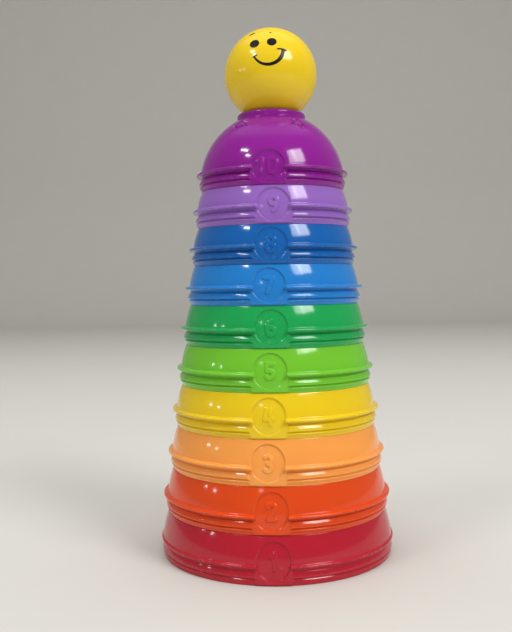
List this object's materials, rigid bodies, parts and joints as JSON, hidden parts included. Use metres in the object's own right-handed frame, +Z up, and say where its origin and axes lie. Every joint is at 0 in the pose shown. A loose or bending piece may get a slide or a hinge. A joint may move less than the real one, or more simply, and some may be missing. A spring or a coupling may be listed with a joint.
{
  "type": "stacking cup tower",
  "caption": "Rainbow tower of numbered, mouth-down stacking cups, each standing on the ledge of the next larger one, with a smiling ball in the dish on top.",
  "frame": {"origin": "centre of the largest cup's mouth, in the plane that it stands on", "axes": "+Z up the tower's axis, -Y towards the numbered badges (the front), +X to the viewer's right"},
  "size_m": [0.12, 0.1198, 0.2681],
  "materials": {
    "cup_01_red": "injection-moulded polypropylene, high gloss",
    "cup_02_orange": "injection-moulded polypropylene, high gloss",
    "cup_03_apricot": "injection-moulded polypropylene, high gloss",
    "cup_04_yellow": "injection-moulded polypropylene, high gloss",
    "cup_05_lime": "injection-moulded polypropylene, high gloss",
    "cup_06_green": "injection-moulded polypropylene, high gloss",
    "cup_07_azure": "injection-moulded polypropylene, high gloss",
    "cup_08_blue": "injection-moulded polypropylene, high gloss",
    "cup_09_lavender": "injection-moulded polypropylene, high gloss",
    "cup_10_purple": "injection-moulded polypropylene, high gloss",
    "ball_shell": "hollow moulded plastic, high gloss",
    "face_print": "pad-printed black ink, satin"
  },
  "bodies": {
    "cup_01": {"cup_01_red": "cup_01_red"},
    "cup_02": {"cup_02_orange": "cup_02_orange"},
    "cup_03": {"cup_03_apricot": "cup_03_apricot"},
    "cup_04": {"cup_04_yellow": "cup_04_yellow"},
    "cup_05": {"cup_05_lime": "cup_05_lime"},
    "cup_06": {"cup_06_green": "cup_06_green"},
    "cup_07": {"cup_07_azure": "cup_07_azure"},
    "cup_08": {"cup_08_blue": "cup_08_blue"},
    "cup_09": {"cup_09_lavender": "cup_09_lavender"},
    "cup_10": {"cup_10_purple": "cup_10_purple"},
    "ball": {"ball_shell": "ball_shell", "face_print": "face_print"}
  },
  "joints": [
    {"name": "lift_cup_02", "type": "slide", "parent": "cup_01", "child": "cup_02", "axis": [0, 0, 1], "range_m": [0, 0.0414]},
    {"name": "lift_cup_03", "type": "slide", "parent": "cup_02", "child": "cup_03", "axis": [0, 0, 1], "range_m": [0, 0.0391]},
    {"name": "lift_cup_04", "type": "slide", "parent": "cup_03", "child": "cup_04", "axis": [0, 0, 1], "range_m": [0, 0.0369]},
    {"name": "lift_cup_05", "type": "slide", "parent": "cup_04", "child": "cup_05", "axis": [0, 0, 1], "range_m": [0, 0.0347]},
    {"name": "lift_cup_06", "type": "slide", "parent": "cup_05", "child": "cup_06", "axis": [0, 0, 1], "range_m": [0, 0.0326]},
    {"name": "lift_cup_07", "type": "slide", "parent": "cup_06", "child": "cup_07", "axis": [0, 0, 1], "range_m": [0, 0.0305]},
    {"name": "lift_cup_08", "type": "slide", "parent": "cup_07", "child": "cup_08", "axis": [0, 0, 1], "range_m": [0, 0.0285]},
    {"name": "lift_cup_09", "type": "slide", "parent": "cup_08", "child": "cup_09", "axis": [0, 0, 1], "range_m": [0, 0.0266]},
    {"name": "lift_cup_10", "type": "slide", "parent": "cup_09", "child": "cup_10", "axis": [0, 0, 1], "range_m": [0, 0.0246]},
    {"name": "lift_ball", "type": "slide", "parent": "cup_10", "child": "ball", "axis": [0, 0, 1], "range_m": [0, 0.03]}
  ]
}
